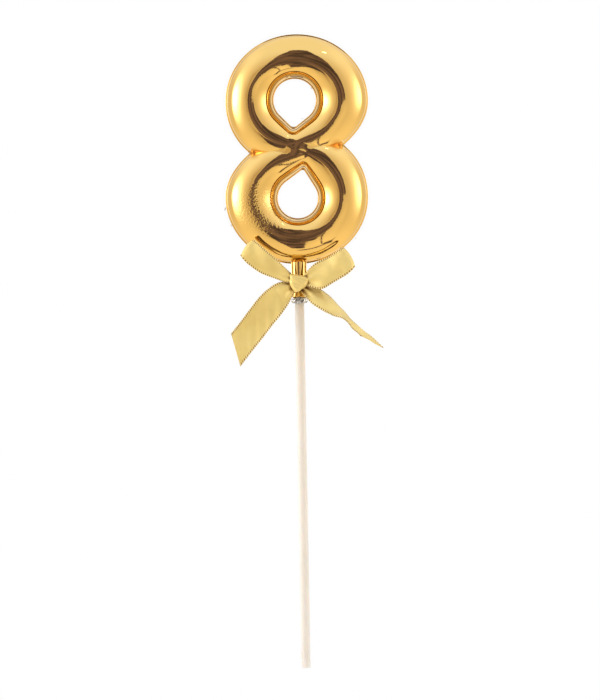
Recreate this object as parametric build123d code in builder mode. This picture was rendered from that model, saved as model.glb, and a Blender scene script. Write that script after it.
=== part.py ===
"""A number 8 cake pick: a gold, blown-look figure on a lollipop stick, tied with a satin bow.

Millimetres, +Z up the stick, front face towards -Y. The origin is the centre of the stick's lower end.
"""

import math
import os

from build123d import *

os.makedirs("parts", exist_ok=True)

# Stick
stick_length = 150.0
stick_radius = 1.75
stick_chamfer = 0.25
stick_grip = 11.3  # length of the upper end pushed up into the neck
grip_taper = 0.5  # degrees that the neck has squeezed that end

# Figure 8: the upper lobe is centred at (0, lobe_rise); the lower one is the same, turned half a turn
figure_height = 197.2  # of the figure's centre above the stick's lower end
figure_lean = 1.03  # degrees, its top towards +X
lobe_rise = 18.4
lobe_half_width = 27.0
lobe_half_height = 25.2
waist = (18.0, 2.2)  # right-hand waist notch; the left one is opposite
waist_radius = 1.0
notch_drift = 1.5  # how far a notch moves for each millimetre that the edge moves out

# Points on a lobe's edge between a notch and its widest point, each with the direction the edge faces there
tight_side = (((22.0, 5.7), -48), ((25.1, 10.3), -25))
full_side = (((-25.9, 10.3), 195), ((-22.5, 3.4), 215))

# The two eyes are teardrops: a round end and a small tip
upper_eye = {"centre": (-0.8, 18.6), "radius": 8.4, "tip": (-1.2, 9.6), "tip_radius": 1.2}
lower_eye = {"centre": (0.4, -18.6), "radius": 7.9, "tip": (2.3, -8.4), "tip_radius": 0.5}
sharpest_tip = 0.1

# Moulded half shells
film = 0.4  # thickness of one shell
clear_edge = 1.0  # uncoated margin outside the gold
outer_flange = 1.3  # flat gold margin outside the swelling
eye_flange = 1.9
swell = 8.4  # how far each half stands out from the seam
ridge_half_width = 18.1  # centre line of the stroke round one lobe
ridge_half_height = 17.3
stroke_half_width = 8.1

# Neck: a half channel in each shell, with flat ears along the seam
neck_bore = 1.80  # 0.05 running clearance round the stick
neck_width = 5.75
neck_foot = 141.0
neck_head = 157.0  # runs up into the lower lobe
collar_foot = stick_length - stick_grip
collar_width = 6.2
collar_radius = 2.3

# Bow of 10 mm satin ribbon, drawn a little thicker than the cloth
ribbon = 0.5
knot_height = 146.0
knot_depth = 3.5
knot_round = 1.0
knot_outline = ((-2.7, 149.5), (2.5, 148.9), (3.4, 146.6), (-0.6, 142.6), (-1.6, 143.0), (-3.4, 146.2))
band_half_width = 3.8  # the turn of ribbon round the neck
band_half_depth = 3.1
band_height = 5.0
tail_depth = 3.5  # how far in front of the stick's axis the tails leave the knot
tail_bow = 1.2  # how far a tail curves forward on its way down
tail_tuck = 4.0  # how far a tail starts back behind the knot
loop_depth = 5.3
loop_root = 0.9  # half thickness of a loop at the knot, and at its fold
loop_fold = 2.2
loop_lean = 21.0  # degrees that the loops lean forward, clear of the figure
past_ribbon = 20.0  # further than any stretch of ribbon reaches to its sides or forward

# Everything flat is drawn as seen from the front: x to the right, y up, z towards the viewer
front = Plane(origin=(0, 0, 0), x_dir=(1, 0, 0), z_dir=(0, -1, 0))
lean = math.radians(figure_lean)
figure = Plane(
    origin=(0, 0, figure_height),
    x_dir=(math.cos(lean), 0, -math.sin(lean)),
    z_dir=(0, -1, 0),
)


def pushed(point, facing, distance):
    """Point moved by distance along the direction at facing degrees from +x."""
    angle = math.radians(facing)
    return (point[0] + distance * math.cos(angle), point[1] + distance * math.sin(angle))


def figure_face(grow):
    """Face of the 8 without its eyes, its edge moved out by grow."""
    half_width = lobe_half_width + grow
    notch = (waist[0] + notch_drift * grow, waist[1])
    with BuildSketch() as face:
        with BuildLine():
            tight = Spline(
                notch,
                *[pushed(point, facing, grow) for point, facing in tight_side],
                (half_width, lobe_rise),
                tangents=((1, 0.75), (0, 1)),
            )
            crown = EllipticalCenterArc((0, lobe_rise), half_width, lobe_half_height + grow, arc_size=180)
            full = Spline(
                (-half_width, lobe_rise),
                *[pushed(point, facing, grow) for point, facing in full_side],
                (-notch[0], -notch[1]),
                tangents=((0, -1), (0.7, -0.75)),
            )
            add([line.rotate(Axis.Z, 180) for line in (tight, crown, full)])
        make_face()
        notches = face.vertices().sort_by(lambda v: abs(v.Y))[:2]
        fillet(notches, waist_radius)
    return face.sketch


def eye_face(eye, grow):
    """Face of one eye, its edge moved out by grow; its tip stays at least sharpest_tip round."""
    with BuildSketch() as face:
        with Locations(eye["centre"]):
            Circle(eye["radius"] + grow)
        with Locations(eye["tip"]):
            Circle(max(eye["tip_radius"] + grow, sharpest_tip))
        make_hull()
    return face.sketch


def swelling(wall):
    """Front half of the blown figure, trimmed at its foot, its skin moved in by wall."""
    half_width = stroke_half_width - wall
    with BuildPart() as blown:
        for rise in (lobe_rise, -lobe_rise):
            start = figure.from_local_coords((ridge_half_width, rise, 0))
            with BuildPart() as lobe:
                with BuildSketch(Plane(start, x_dir=figure.x_dir, z_dir=-figure.y_dir)):
                    with BuildLine():
                        EllipticalCenterArc((0, 0), half_width, swell - wall, arc_size=180)
                        Line((-half_width, 0), (half_width, 0))
                    make_face()
                with BuildLine(figure):
                    EllipticalCenterArc((0, rise), ridge_half_width, ridge_half_height, arc_size=360)
                sweep()
        with BuildSketch(figure):
            add(figure_face(-outer_flange - wall))
            for eye in (upper_eye, lower_eye):
                add(eye_face(eye, eye_flange + wall), mode=Mode.SUBTRACT)
        extrude(amount=2 * swell, mode=Mode.INTERSECT)
    return blown.part


def neck_channel(radius, foot):
    """Solid half round along the front of the neck, from foot up into the lower lobe."""
    with BuildPart() as channel:
        with BuildSketch(Plane.XY.offset(foot)):
            Circle(radius)
            Rectangle(2 * radius, radius, align=(Align.CENTER, Align.MIN), mode=Mode.SUBTRACT)
        extrude(amount=neck_head - foot)
    return channel.part


def cavity():
    """What the front half is hollowed by: the swelling less one film, and the neck's bore."""
    with BuildPart() as hollow:
        add(swelling(film))
        add(neck_channel(neck_bore, neck_foot))
    return hollow.part


def neck_ears(thickness, both=False):
    """The flat strip of seam that the neck runs along."""
    with BuildPart() as strip:
        with BuildSketch(front):
            with Locations((0, neck_foot)):
                Rectangle(neck_width, neck_head - neck_foot, align=(Align.CENTER, Align.MIN))
        extrude(amount=thickness, both=both)
    return strip.part


def half_shell():
    """The front half: flange, neck ears, swelling and channel, all one film thick."""
    with BuildPart() as half:
        with BuildSketch(figure):
            add(figure_face(0))
            for eye in (upper_eye, lower_eye):
                add(eye_face(eye, 0), mode=Mode.SUBTRACT)
        extrude(amount=film)
        add(neck_ears(film))
        add(swelling(0))
        add(neck_channel(neck_bore + film, neck_foot))
        add(cavity(), mode=Mode.SUBTRACT)
    return half.part


def seam_ring(outer, inner):
    """The clear welded margin between two faces, both films thick."""
    with BuildPart() as ring:
        with BuildSketch(figure):
            add(outer)
        extrude(amount=film, both=True)
        with BuildSketch(figure):
            add(inner)
        extrude(amount=film, both=True, mode=Mode.SUBTRACT)
    return ring.part


def side_on(root, heading):
    """Plane that shows a stretch of ribbon edge-on: x runs out along it from root, y comes forward."""
    c = math.cos(math.radians(heading))
    s = math.sin(math.radians(heading))
    return Plane(origin=(root[0], 0, root[1]), x_dir=(c, 0, s), z_dir=(s, 0, -c))


def ribbon_tail(root, heading, length, outline):
    """A hanging tail: its front outline cut from a sheet that bows gently forward."""
    middle = tail_depth + tail_bow
    with BuildPart() as tail:
        with BuildSketch(side_on(root, heading)):
            with BuildLine():
                under = ThreePointArc((-tail_tuck, tail_depth), (length / 2, middle), (length, tail_depth))
                over = ThreePointArc(
                    (-tail_tuck, tail_depth + ribbon),
                    (length / 2, middle + ribbon),
                    (length, tail_depth + ribbon),
                )
                Line(under @ 0, over @ 0)
                Line(under @ 1, over @ 1)
            make_face()
        extrude(amount=past_ribbon, both=True)
        with BuildSketch(front):
            add(outline)
        extrude(amount=past_ribbon, mode=Mode.INTERSECT)
    return tail.part


def ribbon_loop(root, heading, length, outline):
    """A loop: out from the knot, round a fold and back, leaning forward clear of the figure."""
    reach = length - loop_fold
    forward = loop_depth + reach * math.tan(math.radians(loop_lean))
    with BuildPart() as loop:
        with BuildSketch(side_on(root, heading)):
            for mode, wall in ((Mode.ADD, 0), (Mode.SUBTRACT, ribbon)):
                with BuildSketch(mode=mode):
                    with Locations((loop_root, loop_depth)):
                        Circle(loop_root - wall)
                    with Locations((reach, forward)):
                        Circle(loop_fold - wall)
                    make_hull()
        extrude(amount=past_ribbon, both=True)
        with BuildSketch(front):
            add(outline)
        extrude(amount=past_ribbon, mode=Mode.INTERSECT)
    return loop.part


# Stick
with BuildPart() as stick:
    with BuildSketch():
        Circle(stick_radius)
    extrude(amount=collar_foot)
    chamfer(stick.edges().sort_by(Axis.Z)[0], stick_chamfer)
    with BuildSketch(Plane.XY.offset(collar_foot)):
        Circle(stick_radius)
    extrude(amount=stick_grip, taper=grip_taper)

# The two halves of the figure
with BuildPart() as front_shell:
    add(half_shell())

with BuildPart() as back_shell:
    mirror(front_shell.part, about=Plane.XZ)

# The clear margin: round the outside, broken where the neck leaves, and round each eye
with BuildPart() as outer_seam:
    add(seam_ring(figure_face(clear_edge), figure_face(0)))
    add(neck_ears(film, both=True), mode=Mode.SUBTRACT)

with BuildPart() as upper_eye_seam:
    add(seam_ring(eye_face(upper_eye, 0), eye_face(upper_eye, -clear_edge)))

with BuildPart() as lower_eye_seam:
    add(seam_ring(eye_face(lower_eye, 0), eye_face(lower_eye, -clear_edge)))

# Clear mouth of the neck, where the stick goes in
with BuildPart() as mouth_collar:
    with BuildSketch(Plane.XY.offset(collar_foot)):
        Circle(collar_radius)
        Rectangle(collar_width, 2 * film)
        Circle(neck_bore, mode=Mode.SUBTRACT)
    extrude(amount=neck_foot - collar_foot)

# Bow: the turn round the neck, and the knot in front of it, hollowed behind to sit against the turn
with BuildPart() as neck_band:
    with BuildSketch(Plane.XY.offset(knot_height - band_height / 2)):
        Ellipse(band_half_width, band_half_depth)
        Ellipse(band_half_width - ribbon, band_half_depth - ribbon, mode=Mode.SUBTRACT)
    extrude(amount=band_height)

with BuildPart() as knot:
    with BuildSketch(front):
        with BuildLine():
            Polyline(*knot_outline, close=True)
        make_face()
    extrude(amount=band_half_depth + knot_depth)
    fillet(knot.faces().sort_by(Axis.Y)[0].edges(), knot_round)
    with BuildSketch(Plane.XY.offset(knot_height)):
        Ellipse(band_half_width, band_half_depth)
        Rectangle(2 * band_half_width, band_half_depth, align=(Align.CENTER, Align.MIN))
    extrude(amount=band_height, both=True, mode=Mode.SUBTRACT)

# Outlines of the ribbon's stretches, seen from the front, each starting along its root
with BuildSketch() as left_tail_outline:
    with BuildLine():
        top = Spline(
            (-3.9, 146.7),
            (-10.3, 145.3),
            (-16.1, 140.3),
            (-26.2, 127.5),
            tangents=((-1, 0), (-0.62, -0.78)),
        )
        bottom = Spline((-22.9, 115.1), (-14.9, 124.9), (-5.7, 136.3), (-2.2, 142.2))
        Line(top @ 1, bottom @ 0)
        Line(bottom @ 1, top @ 0)
    make_face()

with BuildSketch() as right_tail_outline:
    with BuildLine():
        top = Spline((3.5, 145.2), (8.1, 143.0), (16.0, 135.9), (23.0, 128.7), (31.4, 121.2))
        bottom = Spline((31.2, 120.9), (22.7, 125.9), (17.3, 131.9), (9.4, 135.6), (0.3, 142.1))
        Line(top @ 1, bottom @ 0)
        Line(bottom @ 1, top @ 0)
    make_face()

with BuildSketch() as left_loop_outline:
    with BuildLine():
        top = Spline((-3.1, 150.1), (-8.3, 155.2), (-16.6, 162.6))
        bottom = Spline((-22.1, 157.2), (-18.6, 153.1), (-11.2, 149.2), (-3.8, 146.9))
        Line(top @ 1, bottom @ 0)
        Line(bottom @ 1, top @ 0)
    make_face()

with BuildSketch() as right_loop_outline:
    with BuildLine():
        top = Spline((3.0, 149.4), (4.2, 152.6), (11.7, 156.1), (16.4, 159.3))
        bottom = Spline((21.5, 152.1), (17.7, 149.6), (10.7, 145.6), (7.5, 145.0), (3.9, 146.4))
        Line(top @ 1, bottom @ 0)
        Line(bottom @ 1, top @ 0)
    make_face()

with BuildPart() as left_tail:
    add(ribbon_tail((-3.0, 144.5), 232, 36, left_tail_outline.sketch))

with BuildPart() as right_tail:
    add(ribbon_tail((1.9, 143.6), 323, 38, right_tail_outline.sketch))

with BuildPart() as left_loop:
    add(ribbon_loop((-3.4, 148.5), 142, 23, left_loop_outline.sketch))

with BuildPart() as right_loop:
    add(ribbon_loop((3.4, 147.7), 26, 19.5, right_loop_outline.sketch))

pieces = {
    "stick": stick,
    "front_shell": front_shell,
    "back_shell": back_shell,
    "outer_seam": outer_seam,
    "upper_eye_seam": upper_eye_seam,
    "lower_eye_seam": lower_eye_seam,
    "mouth_collar": mouth_collar,
    "neck_band": neck_band,
    "knot": knot,
    "left_tail": left_tail,
    "right_tail": right_tail,
    "left_loop": left_loop,
    "right_loop": right_loop,
}
for name, piece in pieces.items():
    piece.part.label = name
    export_step(piece.part, f"parts/{name}.step")
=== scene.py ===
"""A number 8 cake pick: a gold mirror-film figure on a stick, with a satin bow.

Shapes are worked out in millimetres and become metres in make_mesh. Points are (x, depth, height): x to the
right, depth towards the viewer (-Y) and height up (+Z), in the frame of the CAD model.
"""

import math

import bpy
import numpy as np
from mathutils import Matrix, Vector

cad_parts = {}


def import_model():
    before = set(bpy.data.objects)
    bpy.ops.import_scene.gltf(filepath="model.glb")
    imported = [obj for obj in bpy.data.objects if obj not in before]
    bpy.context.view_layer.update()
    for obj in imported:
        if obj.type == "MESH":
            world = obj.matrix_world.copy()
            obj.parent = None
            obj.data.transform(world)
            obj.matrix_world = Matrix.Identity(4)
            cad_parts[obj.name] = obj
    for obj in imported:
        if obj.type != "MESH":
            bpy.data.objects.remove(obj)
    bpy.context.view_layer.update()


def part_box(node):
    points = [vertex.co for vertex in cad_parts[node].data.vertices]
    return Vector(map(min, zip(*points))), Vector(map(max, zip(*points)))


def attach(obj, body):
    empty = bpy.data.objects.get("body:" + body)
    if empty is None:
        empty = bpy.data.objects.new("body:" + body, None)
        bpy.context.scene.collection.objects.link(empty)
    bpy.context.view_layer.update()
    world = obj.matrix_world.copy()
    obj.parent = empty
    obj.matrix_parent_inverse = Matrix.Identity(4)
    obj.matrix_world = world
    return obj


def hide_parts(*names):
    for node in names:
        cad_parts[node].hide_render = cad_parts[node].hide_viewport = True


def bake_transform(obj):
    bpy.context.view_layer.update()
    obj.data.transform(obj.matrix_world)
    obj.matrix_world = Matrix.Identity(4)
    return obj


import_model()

MM = 0.001

# Figure: the upper lobe is centred lobe_rise above the figure's centre; the lower one is turned half a turn
lobe_rise = 18.4
lobe_half_width = 27.0
lobe_half_height = 25.2
figure_lean = math.radians(1.03)
film = 0.4
film_shown = 0.45  # the visual film's share of that thickness
weld_distance = 0.01
clear_edge = 1.0
outer_flange = 0.65
eye_flange = 0.6
eye_bead = 0.09  # a raised line round each eye, on its flange
bead_start = 0.15
bead_width = 0.35
flange_slope = 0.21  # the flanges fall away from the swelling
fillet = 0.22
swell = 8.4
ridge_skew = 0.055  # moves the ridge of the swelling towards the eye
far_skew = 0.3  # how much more so at the end of a lobe that is away from the waist
notch_crease = 0.2  # how far the two lobes melt into each other, at a notch and at the middle
middle_crease = 2.6
melt_reach = 10.0
upper_eye = {"centre": (-0.8, 18.6), "radius": 8.1, "tip": (-1.2, 10.3), "tip_radius": 1.9}
lower_eye = {"centre": (0.4, -18.6), "radius": 7.7, "tip": (2.2, -8.9), "tip_radius": 1.0}
circle_steps = 3600

# Gold film's finish
grain_centre = (-0.0135, -0.006, 0.1745)  # metres
grain_reach = 0.0125
line_span = 10.0  # millimetres from an eye's edge that the gold's UV covers
# Painted dark reflection lines round each eye, in the gold's colour
eye_reflection_lines = (1.5, 2.8)  # dark lines round each eye, painted, not shaped
line_half = 0.27
eye_reflection_colour = (0.2, 0.08, 0.03, 1)
# Painted darker beside the notches, where the film came out too bright; in metres
dimmed_spots = ((-0.0164, 0, 0.1957), (0.0152, 0, 0.1984))
dimmed_reach = 0.0027
dimmed_shade = (0.8, 0.64, 0.5, 1)

# Ribbon
ribbon_width = 10.0
ribbon_half = 0.11  # half the cloth's thickness
selvedge_width = 0.65
bead_pitch = 0.85  # of the stitches along each selvedge
bead_swell = 0.14
bead_out = 0.22
pleat_depth = 0.5  # how deep the cloth is pleated where it leaves the knot
pleat_folds = 2.3
pleat_reach = 5.0
wrap_gather = 0.5  # how deep the turn round the neck is gathered
wrap_folds = 3
wrap_hollow = 0.2  # how much the turn's two edges draw in
wrap_tilt = 0.35
wrap_sink = 0.1

floor_radius = 300

seam_low, seam_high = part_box("outer_seam")
figure_x = (seam_low.x + seam_high.x) / 2 / MM
figure_z = (seam_low.z + seam_high.z) / 2 / MM
stick_low, stick_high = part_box("stick")
collar_low, collar_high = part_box("mouth_collar")
band_low, band_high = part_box("neck_band")


# ---------------------------------------------------------------- meshes


def make_mesh(name, points, faces, uv=None):
    """Object from points (x, depth, height) in millimetres."""
    points = np.asarray(points, float)
    placed = np.column_stack((points[:, 0], -points[:, 1], points[:, 2])) * MM
    mesh = bpy.data.meshes.new(name)
    mesh.from_pydata(placed.tolist(), [], [list(map(int, face)) for face in faces])
    if uv is not None:
        layer = mesh.uv_layers.new(name="UVMap")
        corners = np.zeros(len(mesh.loops), int)
        mesh.loops.foreach_get("vertex_index", corners)
        layer.data.foreach_set("uv", np.asarray(uv, float)[corners].ravel())
    mesh.validate()
    mesh.shade_smooth()
    piece = bpy.data.objects.new(name, mesh)
    bpy.context.scene.collection.objects.link(piece)
    return piece


def grid_faces(rows, columns, closed=False, first=0):
    """Quads of a grid stored row by row; closed joins the last column to the first."""
    faces = []
    for row in range(rows - 1):
        for column in range(columns if closed else columns - 1):
            after = (column + 1) % columns
            faces.append(
                (
                    first + row * columns + column,
                    first + row * columns + after,
                    first + (row + 1) * columns + after,
                    first + (row + 1) * columns + column,
                )
            )
    return faces


def ring_faces(rows, columns):
    """Quads of a closed tube bent into a ring: the last row is joined to the first as well."""
    faces = grid_faces(rows, columns, closed=True)
    last = (rows - 1) * columns
    for index in range(columns):
        after = (index + 1) % columns
        faces.append((last + index, last + after, after, index))
    return faces


def smoothstep(value):
    value = np.clip(value, 0, 1)
    return value * value * (3 - 2 * value)


# ---------------------------------------------------------------- outlines of the figure


def bump(angle, centre, width):
    """1 at centre, falling to 0 at width degrees either side."""
    away = (np.degrees(angle) - centre + 180) % 360 - 180
    return np.where(np.abs(away) < width, np.cos(np.radians(90 * away / width)) ** 2, 0)


def lobe_outline():
    """Points of the upper lobe's gold edge about the lobe's own centre."""
    angle = np.linspace(-math.pi, math.pi, circle_steps, endpoint=False)
    swollen = (
        1
        + 0.030 * bump(angle, -125, 60)
        - 0.063 * bump(angle, -48, 48)
        - 0.08 * bump(angle, -90, 40)
    )
    x = lobe_half_width * np.cos(angle) * swollen
    y = lobe_half_height * np.sin(angle) * swollen
    return np.column_stack((x, y))


def moved_in(points, distance):
    """A closed counter-clockwise outline with each point moved in by distance."""
    along = np.roll(points, -1, axis=0) - np.roll(points, 1, axis=0)
    along /= np.linalg.norm(along, axis=1)[:, None]
    inward = np.column_stack((-along[:, 1], along[:, 0]))
    return points + inward * distance


def teardrop(eye, grow):
    """Points of an eye's edge moved out by grow; its tip stays as sharp as it was."""
    centre = np.array(eye["centre"])
    axis = np.array(eye["tip"]) - centre
    length = np.linalg.norm(axis)
    axis /= length
    sharp = eye["tip_radius"]
    radius = eye["radius"] + grow
    length *= (radius - sharp) / (eye["radius"] - sharp)
    across = np.array((-axis[1], axis[0]))
    touch = math.acos((radius - sharp) / length)
    tip = centre + axis * length

    def arc(middle, size, start, stop, steps):
        turn = np.linspace(start, stop, steps)[:, None]
        return middle + size * (np.cos(turn) * axis + np.sin(turn) * across)

    round_end = arc(centre, radius, touch, 2 * math.pi - touch, 900)
    sharp_end = arc(tip, sharp, -touch, touch, 300)
    blend = np.linspace(0, 1, 300)[1:-1, None]
    to_tip = round_end[-1] * (1 - blend) + sharp_end[0] * blend
    from_tip = sharp_end[-1] * (1 - blend) + round_end[0] * blend
    return np.vstack((round_end, to_tip, sharp_end, from_tip))


def skew(angle):
    """How far the ridge leans towards the eye, by angle about the lobe's own centre."""
    return ridge_skew + far_skew * np.maximum(np.sin(angle), 0) ** 2


class Lobe:
    """One lobe of the 8, in polar coordinates about its own centre with its waist below it."""

    def __init__(self, turn, eye):
        self.turn = turn
        outline = lobe_outline()
        self.edge_table = self.table(outline)
        self.foot_table = self.table(moved_in(outline, outer_flange))
        self.clear_table = self.table(moved_in(outline, -clear_edge))
        self.inner_table = self.table(self.own(teardrop(eye, eye_flange)))
        self.eye_table = self.table(self.own(teardrop(eye, 0)))
        self.eye_clear_table = self.table(self.own(teardrop(eye, -clear_edge)))

    def own(self, points):
        """Figure points in this lobe's own coordinates."""
        return points * self.turn - np.array((0, lobe_rise))

    def out(self, points):
        """Own points back in the figure's coordinates."""
        return (points + np.array((0, lobe_rise))) * self.turn

    @staticmethod
    def table(points):
        return np.arctan2(points[:, 1], points[:, 0]), np.linalg.norm(points, axis=1)

    @staticmethod
    def radius(table, angle):
        return np.interp(angle, table[0], table[1], period=2 * math.pi)

    def rise(self, points):
        """Height of this lobe's skin above the seam at figure points; very low outside the lobe."""
        own = self.own(points)
        angle = np.arctan2(own[:, 1], own[:, 0])
        reach = np.linalg.norm(own, axis=1)
        foot = self.radius(self.foot_table, angle)
        inner = self.radius(self.inner_table, angle)
        share = np.clip((foot - reach) / (foot - inner), 0, 1)
        share = share - skew(angle) * share * (1 - share)
        low = film + fillet
        dome = low + (swell - low) * np.sqrt(4 * share * (1 - share))
        beyond = np.maximum(np.maximum(reach - foot, inner - reach), 0)
        root = np.minimum(beyond, fillet)
        flange = film + fillet - np.sqrt(np.maximum(fillet**2 - (fillet - root) ** 2, 0))
        flange = flange - flange_slope * beyond
        across = np.clip((inner - reach - bead_start) / bead_width, 0, 1)
        flange = flange + eye_bead * np.sin(math.pi * across) ** 2
        flange = flange - 10 * np.maximum(reach - foot - 1.2 * outer_flange, 0)
        return np.where(beyond > 0, flange, dome)


lobes = (Lobe(1, upper_eye), Lobe(-1, lower_eye))


def skin_height(points):
    """Height of the figure's front skin above the seam: the two lobes melted together."""
    upper = lobes[0].rise(points)
    lower = lobes[1].rise(points)
    melt = middle_crease + (notch_crease - middle_crease) * smoothstep(np.abs(points[:, 0]) / melt_reach)
    near = np.maximum(melt - np.abs(upper - lower), 0)
    return np.maximum(upper, lower) + near**2 / (4 * melt)


# The line between the two lobes runs through both notches and the figure's centre
def find_notch():
    """Where the upper lobe's edge crosses the turned lower lobe's, on the right."""
    angle = np.radians(np.linspace(-70, -20, 5001))
    reach = Lobe.radius(lobes[0].edge_table, angle)
    points = lobes[0].out(np.column_stack((reach * np.cos(angle), reach * np.sin(angle))))
    own = lobes[1].own(points)
    other = Lobe.radius(lobes[1].edge_table, np.arctan2(own[:, 1], own[:, 0]))
    best = np.argmin(np.abs(np.linalg.norm(own, axis=1) - other))
    return points[best]


notch = find_notch()


def divide(x):
    """Height of the line between the lobes, level at the notches."""
    return notch[1] * np.sin(math.pi / 2 * x / notch[0])


def graded(start, stop, finest, coarsest, growth=1.18):
    """Values from start to stop, close together at both ends."""
    half = (stop - start) / 2
    steps = [0.0]
    step = finest
    while steps[-1] + step < half:
        steps.append(steps[-1] + step)
        step = min(step * growth, coarsest)
    steps = np.array(steps) * half / (steps[-1] + step / 2)
    return np.concatenate((start + steps, stop - steps[::-1]))


def lobe_columns():
    """Angles and reaches of the dividing line about a lobe's centre, and angles of the free edge."""
    along = graded(-notch[0], notch[0], 0.06, 0.5)
    cut = np.column_stack((along, divide(along))) - np.array((0, lobe_rise))
    cut_angle = np.arctan2(cut[:, 1], cut[:, 0])
    cut_reach = np.linalg.norm(cut, axis=1)
    right = cut_angle[-1]
    left = cut_angle[0] + 2 * math.pi
    free_angle = graded(right, left, math.radians(0.15), math.radians(1.35))[1:-1]
    return cut_angle, cut_reach, free_angle


def fold_share(steps):
    """Shares from 0 at the outer foot to 1 at the inner foot, close together at both feet."""
    turn = np.linspace(0, math.pi, steps)
    share = (1 - np.cos(turn)) / 2
    slope = 1 - ridge_skew
    return (np.sqrt(slope**2 + 4 * ridge_skew * share) - slope) / (2 * ridge_skew)


def lobe_grid(lobe):
    """Figure points of one lobe's skin, row by row from its edge to its eye."""
    cut_angle, cut_reach, free_angle = lobe_columns()
    angle = np.concatenate((cut_angle, free_angle))
    edge = np.concatenate((cut_reach, Lobe.radius(lobe.edge_table, free_angle)))
    notch_flange = Lobe.radius(lobe.edge_table, cut_angle[-1]) - Lobe.radius(lobe.foot_table, cut_angle[-1])
    foot = np.concatenate((cut_reach - notch_flange, Lobe.radius(lobe.foot_table, free_angle)))
    inner = Lobe.radius(lobe.inner_table, angle)
    hole = Lobe.radius(lobe.eye_table, angle)
    bend = 1 - np.sin(np.linspace(0, math.pi / 2, 6))  # shares of the fillet, from its outer end to the foot
    rim = np.concatenate((np.linspace(outer_flange, fillet, 5)[:-1], fillet * bend)) / outer_flange
    eye_rim = np.concatenate((fillet * bend[::-1], np.linspace(fillet, eye_flange, 15)[1:])) / eye_flange
    rows = [foot + (edge - foot) * share for share in rim]
    rows += [foot + (inner - foot) * share for share in fold_share(42)[1:]]
    rows += [inner + (hole - inner) * share for share in eye_rim[1:]]
    spokes = np.column_stack((np.cos(angle), np.sin(angle)))
    return [lobe.out(spokes * reach[:, None]) for reach in rows]


def placed(points, height):
    """Figure points and heights above the seam as (x, depth, height) in the model's frame."""
    x = figure_x + points[:, 0] * math.cos(figure_lean) + points[:, 1] * math.sin(figure_lean)
    z = figure_z - points[:, 0] * math.sin(figure_lean) + points[:, 1] * math.cos(figure_lean)
    return np.column_stack((x, height, z))


# ---------------------------------------------------------------- modifiers, applied at once


def apply_modifiers(piece):
    graph = bpy.context.evaluated_depsgraph_get()
    mesh = bpy.data.meshes.new_from_object(piece.evaluated_get(graph))
    piece.modifiers.clear()
    piece.data = mesh
    return piece


def weld(piece, distance):
    modifier = piece.modifiers.new("weld", "WELD")
    modifier.merge_threshold = distance
    return apply_modifiers(piece)


def thicken(piece, thickness):
    modifier = piece.modifiers.new("solidify", "SOLIDIFY")
    modifier.thickness = thickness
    modifier.offset = -1
    modifier.use_even_offset = False
    return apply_modifiers(piece)


# ---------------------------------------------------------------- gold halves

neck_radius = 2.2
neck_ear = 2.9
neck_foot = collar_high.z / MM
neck_head = neck_foot + 16


def neck_points(side):
    """Half of the neck: two ears and the channel between them, flared at the foot."""
    heights = np.concatenate((np.linspace(0, 2, 9), np.linspace(2.5, neck_head - neck_foot, 16)))
    turn = np.linspace(math.pi, 0, 25)
    points = []
    for height in heights:
        flare = max(0, 1 - height / 2) ** 2
        radius = neck_radius + 0.4 * flare
        ear = neck_ear + 0.35 * flare
        channel = [(radius * math.cos(a), film + (radius - film) * math.sin(a) ** 0.8) for a in turn]
        section = [(-ear, film), (-radius - 0.15, film)] + channel + [(radius + 0.15, film), (ear, film)]
        points += [(x, side * depth, neck_foot + height) for x, depth in section]
    return points, grid_faces(len(heights), 29)


def gold_half(name, side):
    """One moulded half of the figure with its half of the neck; side is 1 for the front, -1 for the back."""
    points = []
    faces = []
    from_eye = []
    for lobe in lobes:
        rows = lobe_grid(lobe)
        flat = np.vstack(rows)
        from_eye.append(np.linalg.norm(flat - np.tile(rows[-1], (len(rows), 1)), axis=1))
        first = sum(len(block) for block in points)
        faces += grid_faces(len(rows), len(rows[0]), closed=True, first=first)
        points.append(placed(flat, skin_height(flat) * side))
    neck, neck_quads = neck_points(side)
    first = sum(len(block) for block in points)
    points.append(np.array(neck))
    from_eye.append(np.full(len(neck), line_span))
    faces += [[index + first for index in quad] for quad in neck_quads]
    if side > 0:
        faces = [quad[::-1] for quad in faces]
    share_from_eye = np.concatenate(from_eye) / line_span
    uv = np.column_stack((share_from_eye, np.zeros(len(share_from_eye))))
    piece = make_mesh(name, np.vstack(points), faces, uv)
    weld(piece, weld_distance * MM)
    return thicken(piece, film * film_shown * MM)


# ---------------------------------------------------------------- materials


def grey(level):
    return (level, level, level, 1)


def new_material(name):
    material = bpy.data.materials.new(name)
    material.use_nodes = True
    nodes = material.node_tree.nodes
    return material, nodes, material.node_tree.links, nodes["Principled BSDF"]


def noise(nodes, links, scale, detail, vector):
    node = nodes.new("ShaderNodeTexNoise")
    node.inputs["Scale"].default_value = scale
    node.inputs["Detail"].default_value = detail
    links.new(vector, node.inputs["Vector"])
    return node.outputs["Fac"]


def ramp(nodes, links, value, stops):
    node = nodes.new("ShaderNodeValToRGB")
    elements = node.color_ramp.elements
    elements[0].position, elements[0].color = stops[0]
    elements[1].position, elements[1].color = stops[-1]
    for position, colour in stops[1:-1]:
        elements.new(position).color = colour
    links.new(value, node.inputs["Fac"])
    return node.outputs["Color"]


def darkened(nodes, links, below, shade):
    node = nodes.new("ShaderNodeMix")
    node.data_type = "RGBA"
    node.blend_type = "MULTIPLY"
    node.inputs["Factor"].default_value = 1
    links.new(below, node.inputs["A"])
    links.new(shade, node.inputs["B"])
    return node.outputs["Result"]


def bumped(nodes, links, height, distance, strength, normal=None):
    node = nodes.new("ShaderNodeBump")
    node.inputs["Distance"].default_value = distance
    node.inputs["Strength"].default_value = strength
    links.new(height, node.inputs["Height"])
    if normal is not None:
        links.new(normal, node.inputs["Normal"])
    return node.outputs["Normal"]


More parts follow.
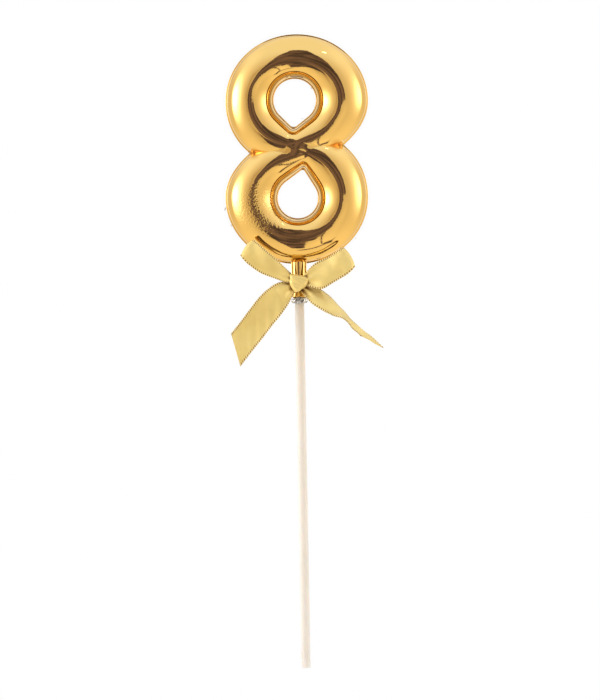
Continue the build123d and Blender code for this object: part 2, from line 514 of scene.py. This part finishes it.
def gold_material():
    """Mirror film: faint ripples, a grainy patch on the lower lobe, painted dark reflection lines round the
    eyes and painted darker spots at the notches.
    """
    material, nodes, links, shader = new_material("gold_mirror_film")
    place = nodes.new("ShaderNodeTexCoord").outputs["Object"]
    tone = noise(nodes, links, 60, 2, place)
    colour = ramp(nodes, links, tone, [(0.3, (0.94, 0.63, 0.21, 1)), (0.7, (0.96, 0.65, 0.225, 1))])

    # Painted dark reflection lines round the eyes, by the distance from the gold's edge there, as a share of
    # line_span
    from_eye = nodes.new("ShaderNodeSeparateXYZ")
    links.new(nodes.new("ShaderNodeTexCoord").outputs["UV"], from_eye.inputs[0])
    eye_reflection_stops = []
    for spot in eye_reflection_lines:
        eye_reflection_stops += [((spot - line_half) / line_span, grey(1)), (spot / line_span, eye_reflection_colour)]
        eye_reflection_stops += [((spot + line_half) / line_span, grey(1))]
    colour = darkened(nodes, links, colour, ramp(nodes, links, from_eye.outputs["X"], eye_reflection_stops))

    # Painted darker beside the notches, by the distance from each spot as seen from the front
    flat_place = nodes.new("ShaderNodeVectorMath")
    flat_place.operation = "MULTIPLY"
    links.new(place, flat_place.inputs[0])
    flat_place.inputs[1].default_value = (1, 0, 1)
    for spot in dimmed_spots:
        apart = nodes.new("ShaderNodeVectorMath")
        apart.operation = "DISTANCE"
        links.new(flat_place.outputs[0], apart.inputs[0])
        apart.inputs[1].default_value = spot
        scaled = nodes.new("ShaderNodeMath")
        scaled.operation = "MULTIPLY"
        links.new(apart.outputs["Value"], scaled.inputs[0])
        scaled.inputs[1].default_value = 1 / dimmed_reach
        spot_shade = ramp(nodes, links, scaled.outputs[0], [(0.35, dimmed_shade), (1, grey(1))])
        colour = darkened(nodes, links, colour, spot_shade)
    links.new(colour, shader.inputs["Base Color"])
    shader.inputs["Metallic"].default_value = 1
    haze = noise(nodes, links, 90, 3, place)
    links.new(ramp(nodes, links, haze, [(0.35, grey(0.02)), (0.75, grey(0.06))]), shader.inputs["Roughness"])
    away = nodes.new("ShaderNodeVectorMath")
    away.operation = "DISTANCE"
    links.new(place, away.inputs[0])
    away.inputs[1].default_value = grain_centre
    patch = nodes.new("ShaderNodeMapRange")
    patch.interpolation_type = "SMOOTHSTEP"
    patch.inputs["From Min"].default_value = grain_reach
    patch.inputs["From Max"].default_value = grain_reach / 2
    links.new(away.outputs["Value"], patch.inputs["Value"])
    grain = nodes.new("ShaderNodeMath")
    grain.operation = "MULTIPLY"
    links.new(noise(nodes, links, 1500, 1, place), grain.inputs[0])
    links.new(patch.outputs[0], grain.inputs[1])
    rough = bumped(nodes, links, grain.outputs[0], 0.00018, 0.6)
    ripple = bumped(nodes, links, noise(nodes, links, 220, 1, place), 0.00006, 0.5, rough)
    peel = bumped(nodes, links, noise(nodes, links, 1500, 2, place), 0.00001, 0.5, ripple)
    links.new(peel, shader.inputs["Normal"])
    return material


def clear_material():
    material, nodes, links, shader = new_material("clear_margin")
    place = nodes.new("ShaderNodeTexCoord").outputs["Object"]
    # Brownish specks in the clear film's colour are painted reflections of the gold
    gold_reflection_specks = noise(nodes, links, 260, 3, place)
    colour = ramp(nodes, links, gold_reflection_specks, [(0.66, grey(0.98)), (0.7, (0.62, 0.50, 0.42, 1))])
    links.new(colour, shader.inputs["Base Color"])
    shader.inputs["Transmission Weight"].default_value = 1
    shader.inputs["IOR"].default_value = 1.06
    shader.inputs["Roughness"].default_value = 0.05
    links.new(bumped(nodes, links, noise(nodes, links, 700, 2, place), 0.00005, 0.4), shader.inputs["Normal"])
    return material


def mouth_material():
    """The crushed, uncoated end of the neck: clear film with bright and dark glints painted into its colour
    by noise.
    """
    material, nodes, links, shader = new_material("crushed_clear_film")
    place = nodes.new("ShaderNodeTexCoord").outputs["Object"]
    glints = noise(nodes, links, 1400, 2, place)
    tones = [(0.42, grey(0.1)), (0.5, (0.72, 0.71, 0.69, 1)), (0.6, grey(0.98))]
    colour = ramp(nodes, links, glints, tones)
    links.new(colour, shader.inputs["Base Color"])
    shader.inputs["Transmission Weight"].default_value = 0.5
    shader.inputs["IOR"].default_value = 1.45
    shader.inputs["Roughness"].default_value = 0.08
    links.new(bumped(nodes, links, noise(nodes, links, 900, 2, place), 0.0004, 0.6), shader.inputs["Normal"])
    return material


def satin_material():
    """Satin with its weave and stitches along both edges, painted highlight on the stitch beads, painted
    shade between them and painted shade in creases; its UV is in mm, across and along.
    """
    material, nodes, links, shader = new_material("gold_satin")
    place = nodes.new("ShaderNodeTexCoord")
    parts = nodes.new("ShaderNodeSeparateXYZ")
    links.new(place.outputs["UV"], parts.inputs[0])

    def calculated(kind, first, second):
        node = nodes.new("ShaderNodeMath")
        node.operation = kind
        links.new(first, node.inputs[0])
        if isinstance(second, bpy.types.NodeSocket):
            links.new(second, node.inputs[1])
        else:
            node.inputs[1].default_value = second
        return node.outputs[0]

    off_centre = calculated("ABSOLUTE", calculated("SUBTRACT", parts.outputs["X"], ribbon_width / 2), 0)
    selvedge = calculated("GREATER_THAN", off_centre, ribbon_width / 2 - selvedge_width)
    turns = calculated("MULTIPLY", parts.outputs["Y"], 2 * math.pi / bead_pitch)
    # Painted highlight on each selvedge bead and painted shade in the gaps between them, where the beads
    # stand
    bead_light_and_gap_shade = [(0, (0.42, 0.22, 0.03, 1)), (0.3, (1, 0.86, 0.42, 1))]
    painted_bead_light = ramp(nodes, links, calculated("COSINE", turns, 0), bead_light_and_gap_shade)
    weave = nodes.new("ShaderNodeTexWave")
    weave.bands_direction = "X"
    weave.inputs["Scale"].default_value = 1.1
    weave.inputs["Distortion"].default_value = 0.6
    links.new(place.outputs["UV"], weave.inputs["Vector"])
    picks = nodes.new("ShaderNodeTexWave")
    picks.bands_direction = "Y"
    picks.inputs["Scale"].default_value = 1.4
    links.new(place.outputs["UV"], picks.inputs["Vector"])
    cloud = noise(nodes, links, 120, 4, place.outputs["Object"])
    cloth = ramp(nodes, links, cloud, [(0.3, (0.88, 0.67, 0.225, 1)), (0.7, (0.99, 0.785, 0.29, 1))])
    stitch = nodes.new("ShaderNodeMix")
    stitch.data_type = "RGBA"
    links.new(selvedge, stitch.inputs["Factor"])
    links.new(cloth, stitch.inputs["A"])
    links.new(painted_bead_light, stitch.inputs["B"])
    # Painted shade in creases and where pieces meet: ambient occlusion darkens the satin's colour
    crease_occlusion = nodes.new("ShaderNodeAmbientOcclusion")
    crease_occlusion.samples = 8
    crease_occlusion.inputs["Distance"].default_value = 0.005
    shadow = ramp(nodes, links, crease_occlusion.outputs["AO"], [(0.3, (0.25, 0.13, 0.06, 1)), (0.8, grey(1))])
    crease_shaded = darkened(nodes, links, stitch.outputs["Result"], shadow)
    links.new(crease_shaded, shader.inputs["Base Color"])
    shader.inputs["Metallic"].default_value = 0.3
    shader.inputs["Roughness"].default_value = 0.4
    shader.inputs["Anisotropic"].default_value = 0.5
    first = bumped(nodes, links, weave.outputs["Fac"], 0.00003, 0.3)
    links.new(bumped(nodes, links, picks.outputs["Fac"], 0.00002, 0.2, first), shader.inputs["Normal"])
    return material


def stick_material():
    material, nodes, links, shader = new_material("stick_white_plastic")
    place = nodes.new("ShaderNodeTexCoord").outputs["Object"]
    cloud = noise(nodes, links, 40, 3, place)
    colour = ramp(nodes, links, cloud, [(0.3, (0.76, 0.72, 0.655, 1)), (0.7, (0.80, 0.76, 0.70, 1))])
    links.new(colour, shader.inputs["Base Color"])
    shader.inputs["Roughness"].default_value = 0.5
    shader.inputs["Specular IOR Level"].default_value = 0.2
    shader.inputs["Subsurface Weight"].default_value = 0.9
    shader.inputs["Subsurface Radius"].default_value = (1, 0.85, 0.7)
    shader.inputs["Subsurface Scale"].default_value = 0.003
    grain = noise(nodes, links, 1200, 3, place)
    links.new(bumped(nodes, links, grain, 0.00003, 0.3), shader.inputs["Normal"])
    return material


def floor_material():
    material, nodes, links, shader = new_material("white_sweep")
    shader.inputs["Base Color"].default_value = (0, 0, 0, 1)
    shader.inputs["Roughness"].default_value = 1
    shader.inputs["Specular IOR Level"].default_value = 0
    shader.inputs["Emission Color"].default_value = (1, 1, 1, 1)
    shader.inputs["Emission Strength"].default_value = 1
    return material


def finish_piece(piece, body, nodes, material):
    piece.data.materials.clear()
    piece.data.materials.append(material)
    if body is not None:
        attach(piece, body)
    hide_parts(*nodes)
    return piece


# ---------------------------------------------------------------- build the figure

gold = gold_material()
finish_piece(gold_half("gold_front_half", 1), "figure", ["front_shell"], gold)
finish_piece(gold_half("gold_back_half", -1), "figure", ["back_shell"], gold)


def margin(name, inner, outer, node):
    """A clear welded margin between two closed rows of figure points."""
    half = ((0, 0.6), (0.35, 0.58), (0.8, 0.5), (0.95, 0.38), (1, 0.15))
    depths = [(share, depth * film) for share, depth in half]
    depths += [(share, -depth * film) for share, depth in half[::-1]]
    section = [placed(inner + (outer - inner) * share, np.full(len(inner), depth)) for share, depth in depths]
    count = len(inner)
    piece = make_mesh(name, np.stack(section).reshape(-1, 3), ring_faces(len(depths), count))
    return finish_piece(piece, "figure", [node], clear)


clear = clear_material()


def outer_margin_rows():
    """The figure's whole edge and the clear edge outside it, as two rows of figure points."""
    free_angle = lobe_columns()[2]
    rows = []
    for table in ("edge_table", "clear_table"):
        row = []
        for lobe in lobes:
            reach = Lobe.radius(getattr(lobe, table), free_angle)
            row.append(lobe.out(np.column_stack((reach * np.cos(free_angle), reach * np.sin(free_angle)))))
        rows.append(np.vstack(row))
    return rows


def eye_rows(lobe):
    angle = np.linspace(-math.pi, math.pi, 240, endpoint=False)
    spokes = np.column_stack((np.cos(angle), np.sin(angle)))
    tables = (lobe.eye_table, lobe.eye_clear_table)
    return [lobe.out(spokes * Lobe.radius(table, angle)[:, None]) for table in tables]


margin("clear_outer_margin", *outer_margin_rows(), "outer_seam")
margin("clear_upper_eye_margin", *eye_rows(lobes[0]), "upper_eye_seam")
margin("clear_lower_eye_margin", *eye_rows(lobes[1]), "lower_eye_seam")


def collar():
    """Crumpled clear mouth of the neck."""
    low = collar_low.z / MM
    high = collar_high.z / MM
    around = 180
    turn = np.linspace(0, 2 * math.pi, around, endpoint=False)
    profile = [(0, low), (0.55, low + 0.15), (0.75, low + 0.8), (0.55, low + 1.5), (0.2, high), (-0.15, high)]
    profile += [(-0.2, low + 1.2), (-0.25, low + 0.1)]
    points = []
    for push, height in profile:
        pleat = 0.16 * np.sin(11 * turn + 2 * height) + 0.1 * np.sin(23 * turn + 5 * height)
        outer = push > 0
        wide = 2.15 + push * (1.15 if outer else 0.6) + (pleat if outer else 0)
        deep = 2.1 + push * 0.6 + (pleat if outer else 0)
        lift = 0.12 * np.sin(7 * turn + height) if outer else 0
        points.append(np.column_stack((wide * np.cos(turn), deep * np.sin(turn), height + lift + 0 * turn)))
    return make_mesh("clear_collar", np.vstack(points), ring_faces(len(points), around))


finish_piece(collar(), "figure", ["mouth_collar"], mouth_material())


def stick():
    """Plain plastic stick with softly rounded ends."""
    around = 72
    turn = np.linspace(0, 2 * math.pi, around, endpoint=False)
    radius = (stick_high.x - stick_low.x) / 2 / MM
    length = stick_high.z / MM
    grip = collar_low.z / MM
    ring = [(0.02, 0), (0.5 * radius, 0), (radius - 0.3, 0), (radius - 0.08, 0.06), (radius, 0.28)]
    ring += [(radius, height) for height in np.linspace(1, grip, 60)]
    ring += [(radius - 0.05, grip + 0.1), (radius - 0.1, length - 0.3)]
    ring += [(radius - 0.4, length), (0.02, length)]
    points = [
        np.column_stack((size * np.cos(turn), size * np.sin(turn), np.full(around, float(height))))
        for size, height in ring
    ]
    faces = grid_faces(len(points), around, closed=True)
    faces.append(list(range(around))[::-1])
    faces.append(list(range((len(points) - 1) * around, len(points) * around)))
    return make_mesh("pick_stick", np.vstack(points), faces)


finish_piece(stick(), "stick", ["stick"], stick_material())


# ---------------------------------------------------------------- the bow

satin = satin_material()


def through(stations, count):
    """Points on a smooth curve through the stations, evenly spaced in the curve's own parameter."""
    stations = np.asarray(stations, float)
    ends = [2 * stations[0] - stations[1]], [2 * stations[-1] - stations[-2]]
    held = np.vstack((ends[0], stations, ends[1]))
    spot = np.linspace(0, len(stations) - 1, count)
    index = np.minimum(spot.astype(int), len(stations) - 2)
    t = (spot - index)[:, None]
    p0, p1, p2, p3 = (held[index + step] for step in range(4))
    return (
        p1
        + 0.5 * t * (p2 - p0)
        + t**2 * (p0 - 2.5 * p1 + 2 * p2 - 0.5 * p3)
        + t**3 * (1.5 * (p1 - p2) + 0.5 * (p3 - p0))
    )


def ribbon(name, one_edge, other_edge, crowns, length, both_rooted):
    """Satin between two edges, each a given list of (x, depth, height); crowns bow it across."""
    count = int(length / bead_pitch * 8)
    first = through(one_edge, count)
    second = through(other_edge, count)
    bow = np.interp(np.linspace(0, 1, count), np.linspace(0, 1, len(crowns)), crowns)
    edge_zone = np.array((0, 0.012, 0.028, 0.044, 0.06))
    across = np.concatenate((edge_zone, np.linspace(0.09, 0.91, 20), 1 - edge_zone[::-1]))
    centre = (first + second) / 2
    along = np.gradient(centre, axis=0)
    sideways = second - first
    width = np.linalg.norm(sideways, axis=1)
    facing = np.cross(along, sideways)
    facing /= np.linalg.norm(facing, axis=1)[:, None]
    run = np.concatenate(([0], np.cumsum(np.linalg.norm(np.diff(centre, axis=0), axis=1))))
    from_knot = np.minimum(run, run[-1] - run) if both_rooted else run
    pleated = pleat_depth * np.exp(-((from_knot / pleat_reach) ** 2))
    stitch = 0.5 + 0.5 * np.cos(2 * math.pi * run / bead_pitch)
    skins = []
    for side in (1, -1):
        for share in across if side > 0 else across[::-1]:
            near_edge = np.minimum(share, 1 - share) * ribbon_width
            bead = smoothstep(1 - near_edge / selvedge_width) * stitch
            wave = 0.16 * np.sin(0.45 * run + 5 * share) + 0.06 * np.sin(1.1 * run - 8 * share)
            lift = 4 * bow * share * (1 - share) + wave * smoothstep(run / 6)
            lift = lift + pleated * np.sin(2 * math.pi * pleat_folds * share + 0.06 * run)
            lift = lift + side * (ribbon_half + bead_swell * bead)
            spread = share + np.sign(share - 0.5) * bead_out * bead / width
            skins.append(first + sideways * spread[:, None] + facing * lift[:, None])
    points = np.stack(skins, axis=1)
    columns = points.shape[1]
    faces = grid_faces(count, columns, closed=True)
    faces.append(list(range(columns)))
    faces.append(list(range((count - 1) * columns, count * columns))[::-1])
    uv_across = np.concatenate((across, across[::-1])) * ribbon_width
    uv = np.stack(np.broadcast_arrays(uv_across[None, :], run[:, None]), axis=2).reshape(-1, 2)
    return make_mesh(name, points.reshape(-1, 3), faces, uv)


def blended_ribbon(name, one_edge, other_edge, crowns, length, body, held):
    piece = ribbon(name, one_edge, other_edge, crowns, length, held == "folded")
    finish_piece(piece, None, [body], satin)
    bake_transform(piece)


left_tail_top = [
    (-1.0, 4.6, 146.9), (-4.6, 5.2, 147.1), (-8.5, 5.4, 146.3), (-12.0, 5.2, 144.1),
    (-15.2, 4.9, 141.2), (-18.8, 4.6, 136.8), (-22.5, 4.5, 132.0), (-26.2, 4.6, 127.5),
]
left_tail_low = [
    (-0.6, 4.2, 144.0), (-2.6, 4.4, 141.6), (-4.3, 4.6, 138.4), (-7.2, 4.6, 134.4),
    (-10.6, 4.4, 130.4), (-14.2, 4.2, 125.8), (-18.3, 4.0, 120.9), (-22.9, 4.2, 115.1),
]
blended_ribbon(
    "ribbon_left_tail", left_tail_top, left_tail_low, (0.3, -0.5, 0.5, 0.5, 0.4, 0.3, 0.2), 38,
    "left_tail", "hung",
)

right_tail_top = [
    (1.0, 4.6, 146.6), (4.8, 4.4, 145.4), (8.1, 3.8, 143.7), (11.4, 3.2, 141.2),
    (16.0, 2.8, 135.9), (20.3, 2.9, 131.4), (25.5, 3.4, 126.6), (31.4, 4.6, 121.2),
]
right_tail_low = [
    (0.4, 4.2, 143.6), (2.3, 5.6, 141.1), (5.2, 7.6, 138.0), (9.4, 9.6, 135.6),
    (13.2, 11.0, 133.6), (17.3, 11.6, 131.9), (20.1, 11.6, 128.8), (22.9, 11.4, 125.8),
]
blended_ribbon(
    "ribbon_right_tail", right_tail_top, right_tail_low, (0.2, 0.3, 0.6, 0.6, 0.4, 0.3, 0.2), 36,
    "right_tail", "hung",
)

left_loop_top = [
    (-1.2, 5.6, 148.4), (-3.8, 6.3, 150.7), (-7.6, 7.0, 154.5), (-12.0, 8.1, 158.5), (-15.7, 9.1, 161.9),
    (-16.9, 8.6, 162.7), (-15.6, 7.8, 161.6), (-11.6, 6.5, 157.9), (-7.2, 5.0, 153.7), (-2.0, 4.4, 148.6),
]
left_loop_low = [
    (-1.2, 5.4, 146.4), (-4.4, 6.2, 146.6), (-9.3, 7.4, 148.3), (-14.8, 8.4, 150.6), (-19.7, 9.4, 154.3),
    (-21.9, 9.0, 157.0), (-20.4, 8.1, 156.5), (-15.0, 6.5, 151.9), (-9.5, 5.0, 149.2), (-2.0, 4.2, 147.0),
]
blended_ribbon(
    "ribbon_left_loop", left_loop_top, left_loop_low, (-0.2, -0.6, -0.6, -0.4, -0.7, -1.0, -0.6, 0, 0, 0), 40,
    "left_loop", "folded",
)

right_loop_top = [
    (1.2, 5.6, 148.2), (3.6, 6.2, 151.2), (6.8, 6.6, 154.0), (11.7, 7.0, 156.2), (15.6, 7.3, 158.8),
    (16.9, 6.4, 159.4), (15.2, 5.3, 158.2), (11.0, 4.8, 155.4), (6.6, 4.6, 152.4), (2.0, 4.4, 148.6),
]
right_loop_low = [
    (1.4, 5.4, 146.0), (4.4, 6.5, 144.9), (8.6, 7.6, 144.0), (13.4, 8.4, 146.6), (18.6, 8.7, 149.6),
    (20.9, 7.8, 152.0), (19.2, 6.6, 151.6), (13.6, 5.8, 148.2), (8.4, 5.0, 146.2), (2.0, 4.2, 146.6),
]
blended_ribbon(
    "ribbon_right_loop", right_loop_top, right_loop_low, (0.2, 0.6, 0.6, 0.4, 0.8, 1.1, 0.6, 0, 0, 0), 38,
    "right_loop", "folded",
)


knot_outline = [
    (3.6, 146.9), (3.3, 148.3), (1.6, 149.0), (-0.2, 149.4), (-2.0, 149.7), (-3.6, 149.8), (-3.7, 148.2),
    (-3.7, 146.4), (-3.2, 145.0), (-2.3, 143.7), (-1.5, 142.7), (-0.6, 143.0), (1.0, 144.0), (2.8, 145.3),
]
knot_middle = (-0.2, 146.5)
knot_front = 7.9
knot_side = 6.0
fold_angle = math.radians(-28)  # of the folds across the knot


def knot():
    """The wrap at the front of the bow: a pulled pentagon with slanting folds, tucked in at its sides."""
    middle = np.array(knot_middle)
    rays = np.array(knot_outline) - middle
    around = 220
    turn = np.linspace(-math.pi, math.pi, around, endpoint=False)
    reach = np.linalg.norm(rays, axis=1)
    size = np.interp(turn, np.arctan2(rays[:, 1], rays[:, 0]), reach, period=2 * math.pi)
    for _ in range(3):
        size = (np.roll(size, 1) + 2 * size + np.roll(size, -1)) / 4
    points = []
    for share in np.concatenate((np.linspace(0.02, 0.8, 24), np.linspace(0.83, 1, 10))):
        x = share * size * np.cos(turn)
        z = share * size * np.sin(turn)
        slant = -x * math.sin(fold_angle) + z * math.cos(fold_angle)
        folds = 0.14 * np.sin(1.7 * slant + 0.25 * x + 0.9) + 0.06 * np.sin(4.1 * slant - 0.5 * x)
        crown = max(1 - share**5, 0) ** 0.5
        depth = knot_side + (knot_front - knot_side + folds) * crown
        points.append(np.column_stack((middle[0] + x, depth, middle[1] + z)))
    for share, depth in ((0.97, 3.9), (0.8, 3.2), (0.4, 3.0)):
        x = share * size * np.cos(turn)
        z = share * size * np.sin(turn)
        points.append(np.column_stack((middle[0] + x, np.full(around, depth), middle[1] + z)))
    faces = [quad[::-1] for quad in grid_faces(len(points), around, closed=True)]
    faces.append(list(range(around)))
    faces.append(list(range((len(points) - 1) * around, len(points) * around))[::-1])
    points = np.vstack(points)
    uv = np.column_stack((points[:, 0] + ribbon_width / 2, points[:, 2]))
    return make_mesh("knot_wrap", points, faces, uv)


finish_piece(knot(), "bow", ["knot"], satin)


def neck_wrap():
    """Gathered turn of ribbon round the neck."""
    around = 160
    turn = np.linspace(0, 2 * math.pi, around, endpoint=False)
    wide = (band_high.x - band_low.x) / 2 / MM
    deep = (band_high.y - band_low.y) / 2 / MM
    low = band_low.z / MM
    high = band_high.z / MM
    points = []
    shares = np.linspace(0, 1, 37)
    for side in (1, -1):
        for share in shares if side > 0 else shares[::-1]:
            fold = wrap_gather * np.sin(wrap_folds * 2 * math.pi * share + 0.8 * np.sin(2 * turn))
            gathered = fold - wrap_hollow * (2 * share - 1) ** 2
            push = gathered + side * ribbon_half - wrap_sink
            height = low + (high - low) * share + wrap_tilt * np.sin(turn + 1)
            x = (wide + push) * np.cos(turn)
            points.append(np.column_stack((x, (deep + push) * np.sin(turn), height)))
    faces = [quad[::-1] for quad in ring_faces(len(points), around)]
    points = np.vstack(points)
    uv = np.column_stack((points[:, 2] - low, np.tile(turn * 3.4, 2 * len(shares))))
    return make_mesh("neck_wrap", points, faces, uv)


finish_piece(neck_wrap(), "bow", ["neck_band"], satin)


# ---------------------------------------------------------------- floor, light and camera


def floor():
    around = 96
    turn = np.linspace(0, 2 * math.pi, around, endpoint=False)
    rim = np.column_stack((floor_radius * np.cos(turn), floor_radius * np.sin(turn), np.zeros(around)))
    piece = make_mesh("floor", rim, [list(range(around))[::-1]])
    piece.data.materials.append(floor_material())
    piece.visible_glossy = False


floor()


def world():
    """Pale studio with a soft light each side, and dark shapes that only the gold's reflections show."""
    sky = bpy.data.worlds.new("studio")
    bpy.context.scene.world = sky
    sky.use_nodes = True
    nodes = sky.node_tree.nodes
    links = sky.node_tree.links
    nodes.clear()
    direction = nodes.new("ShaderNodeTexCoord").outputs["Generated"]
    parts = nodes.new("ShaderNodeSeparateXYZ")
    links.new(direction, parts.inputs[0])
    x, y, z = parts.outputs

    def joined(value, socket):
        if isinstance(value, bpy.types.NodeSocket):
            links.new(value, socket)
        else:
            socket.default_value = value

    def math_node(kind, *values):
        node = nodes.new("ShaderNodeMath")
        node.operation = kind
        for value, socket in zip(values, node.inputs):
            joined(value, socket)
        return node.outputs[0]

    def add(a, b):
        return math_node("ADD", a, b)

    def times(a, b):
        return math_node("MULTIPLY", a, b)

    def either(first, *others):
        for other in others:
            first = math_node("MAXIMUM", first, other)
        return first

    def above(value, low, soft):
        """0 below low, 1 above it, with a soft edge."""
        node = nodes.new("ShaderNodeMapRange")
        node.interpolation_type = "SMOOTHSTEP"
        node.inputs["From Min"].default_value = low - soft
        node.inputs["From Max"].default_value = low + soft
        links.new(value, node.inputs["Value"])
        return node.outputs[0]

    def within(value, low, high, soft):
        return times(above(value, low, soft), above(times(value, -1), -high, soft))

    def block(left, right, low, high, soft=0.014):
        """1 inside a box of directions, by their x and z from -1 to 1."""
        return times(within(x, left, right, soft), within(z, low, high, soft))

    def mixed(factor, a, b):
        node = nodes.new("ShaderNodeMix")
        node.data_type = "RGBA"
        joined(factor, node.inputs["Factor"])
        joined(a, node.inputs["A"])
        joined(b, node.inputs["B"])
        return node.outputs["Result"]

    def coloured(colour, strength):
        node = nodes.new("ShaderNodeVectorMath")
        node.operation = "SCALE"
        joined(colour, node.inputs[0])
        joined(strength, node.inputs["Scale"])
        return node.outputs[0]

    def summed(a, b):
        node = nodes.new("ShaderNodeVectorMath")
        joined(a, node.inputs[0])
        joined(b, node.inputs[1])
        return node.outputs[0]

    def soft_light(azimuth, peak, spread):
        """Brightness of a tall soft light; azimuth and spread in degrees from straight in front."""
        turned = times(math_node("SUBTRACT", across, math.radians(azimuth)), 1 / math.radians(spread))
        raised = times(add(z, -0.1), 1 / 0.29)
        away = add(times(turned, turned), times(raised, raised))
        return times(math_node("EXPONENT", times(away, -1)), peak)

    ahead = times(y, -1)
    across = math_node("ARCTAN2", x, ahead)
    streaks = noise(nodes, links, 7, 4, direction)

    # Walls: paler high and low, warm below, with a glow beside the stand and a brown shade left of it
    pale = add(0.72, times(above(math_node("ABSOLUTE", z), 0.55, 0.35), 0.26))
    pale = add(pale, times(above(math_node("ABSOLUTE", x), 0.5, 0.15), 0.1))
    pale = add(pale, times(block(0.14, 0.45, -0.75, -0.05, 0.12), 0.18))
    half_height = add(times(z, 0.5), 0.5)
    tints = [(0.45, (1, 0.87, 0.64, 1)), (0.72, (1, 0.93, 0.85, 1)), (0.86, (1, 1.02, 1.06, 1))]
    tint = ramp(nodes, links, half_height, tints)
    walls = coloured(tint, pale)
    shade = times(block(-0.4, -0.1, -0.5, 0.33, 0.1), above(ahead, 0.3, 0.2))
    shade = times(shade, add(0.12, times(above(streaks, 0.48, 0.1), 0.45)))
    walls = mixed(shade, walls, (0.45, 0.30, 0.18, 1))
    lamps = add(soft_light(-78, 4.8, 23), soft_light(85, 2.2, 26))
    lamps = coloured((1, 0.98, 1.05), times(lamps, above(ahead, -0.1, 0.12)))
    glint = coloured((5, 5, 5), times(block(0.35, 0.41, 0.81, 0.83, 0.008), above(ahead, 0, 0.02)))
    lit = summed(summed(walls, lamps), glint)

    # Dark shapes in front, named for what they may be: a camera with its arm, stand and cable, and a table
    radius = math_node("SQRT", add(times(x, x), times(z, z)))
    beside = above(add(x, times(z, 0.7)), 0.05, 0.008)
    beside = times(beside, above(add(times(x, 0.12), times(z, -1)), 0, 0.01))
    middle = times(above(times(radius, -1), -0.215, 0.01), math_node("SUBTRACT", 1, beside))
    arm = times(
        times(block(-0.17, 0.28, 0.02, 0.76), above(add(times(x, -1), times(z, -0.5)), -0.53, 0.014)),
        above(add(x, times(z, -0.5)), -0.43, 0.014),
    )
    stand = times(
        either(block(-0.26, 0.13, -0.43, -0.2), block(-0.26, 0.07, -0.79, -0.4)),
        above(add(x, times(z, 0.45)), -0.445, 0.014),
    )
    cable = times(within(add(x, times(z, 0.333)), 0.045, 0.066, 0.006), within(z, -0.76, -0.05, 0.02))
    table_edge = times(within(radius, 0.845, 0.875, 0.008), block(0.0, 0.5, -1, -0.55, 0.05))
    blob = block(0.32, 0.48, -0.79, -0.72, 0.025)
    dark = either(middle, arm, stand, cable, table_edge, blob)
    dark = times(dark, above(ahead, 0.02, 0.02))

    # Invented shapes behind: a doorway, a post and a rail
    doorway = times(block(-0.24, 0.1, -0.66, 0.2), above(add(x, times(z, -0.3)), -0.2, 0.014))
    post = block(0.17, 0.21, -0.7, 0.55)
    rail = times(within(radius, 0.62, 0.66, 0.012), block(-0.7, 0.05, 0.15, 1, 0.05))
    dark = either(dark, times(either(doorway, post, rail), above(y, 0.3, 0.05)))
    gloom = ramp(nodes, links, streaks, [(0.4, (0.07, 0.055, 0.075, 1)), (0.6, (0.2, 0.14, 0.16, 1))])

    # Seen straight or through something clear, the room is plain white
    lit_room = nodes.new("ShaderNodeBackground")
    links.new(mixed(dark, lit, gloom), lit_room.inputs["Color"])
    plain = nodes.new("ShaderNodeBackground")
    plain.inputs["Color"].default_value = (1, 1, 1, 1)
    path = nodes.new("ShaderNodeLightPath")
    choose = nodes.new("ShaderNodeMixShader")
    straight = either(path.outputs["Is Camera Ray"], path.outputs["Is Transmission Ray"])
    links.new(straight, choose.inputs["Fac"])
    links.new(lit_room.outputs[0], choose.inputs[1])
    links.new(plain.outputs[0], choose.inputs[2])
    out = nodes.new("ShaderNodeOutputWorld")
    links.new(choose.outputs[0], out.inputs["Surface"])


world()


def camera():
    """Level, straight on, far away; rolled by the figure's lean, so the figure stands upright."""
    aim_x, aim_z = -0.15, 120.9
    distance = 4000
    field = 266
    data = bpy.data.cameras.new("camera")
    data.lens = data.sensor_width * distance / field
    data.clip_end = 20
    eye = bpy.data.objects.new("camera", data)
    eye.location = (aim_x * MM, -distance * MM, aim_z * MM)
    eye.rotation_euler = (math.pi / 2, figure_lean, 0)
    bpy.context.scene.collection.objects.link(eye)
    bpy.context.scene.camera = eye


camera()
bpy.context.scene.view_settings.view_transform = "Standard"
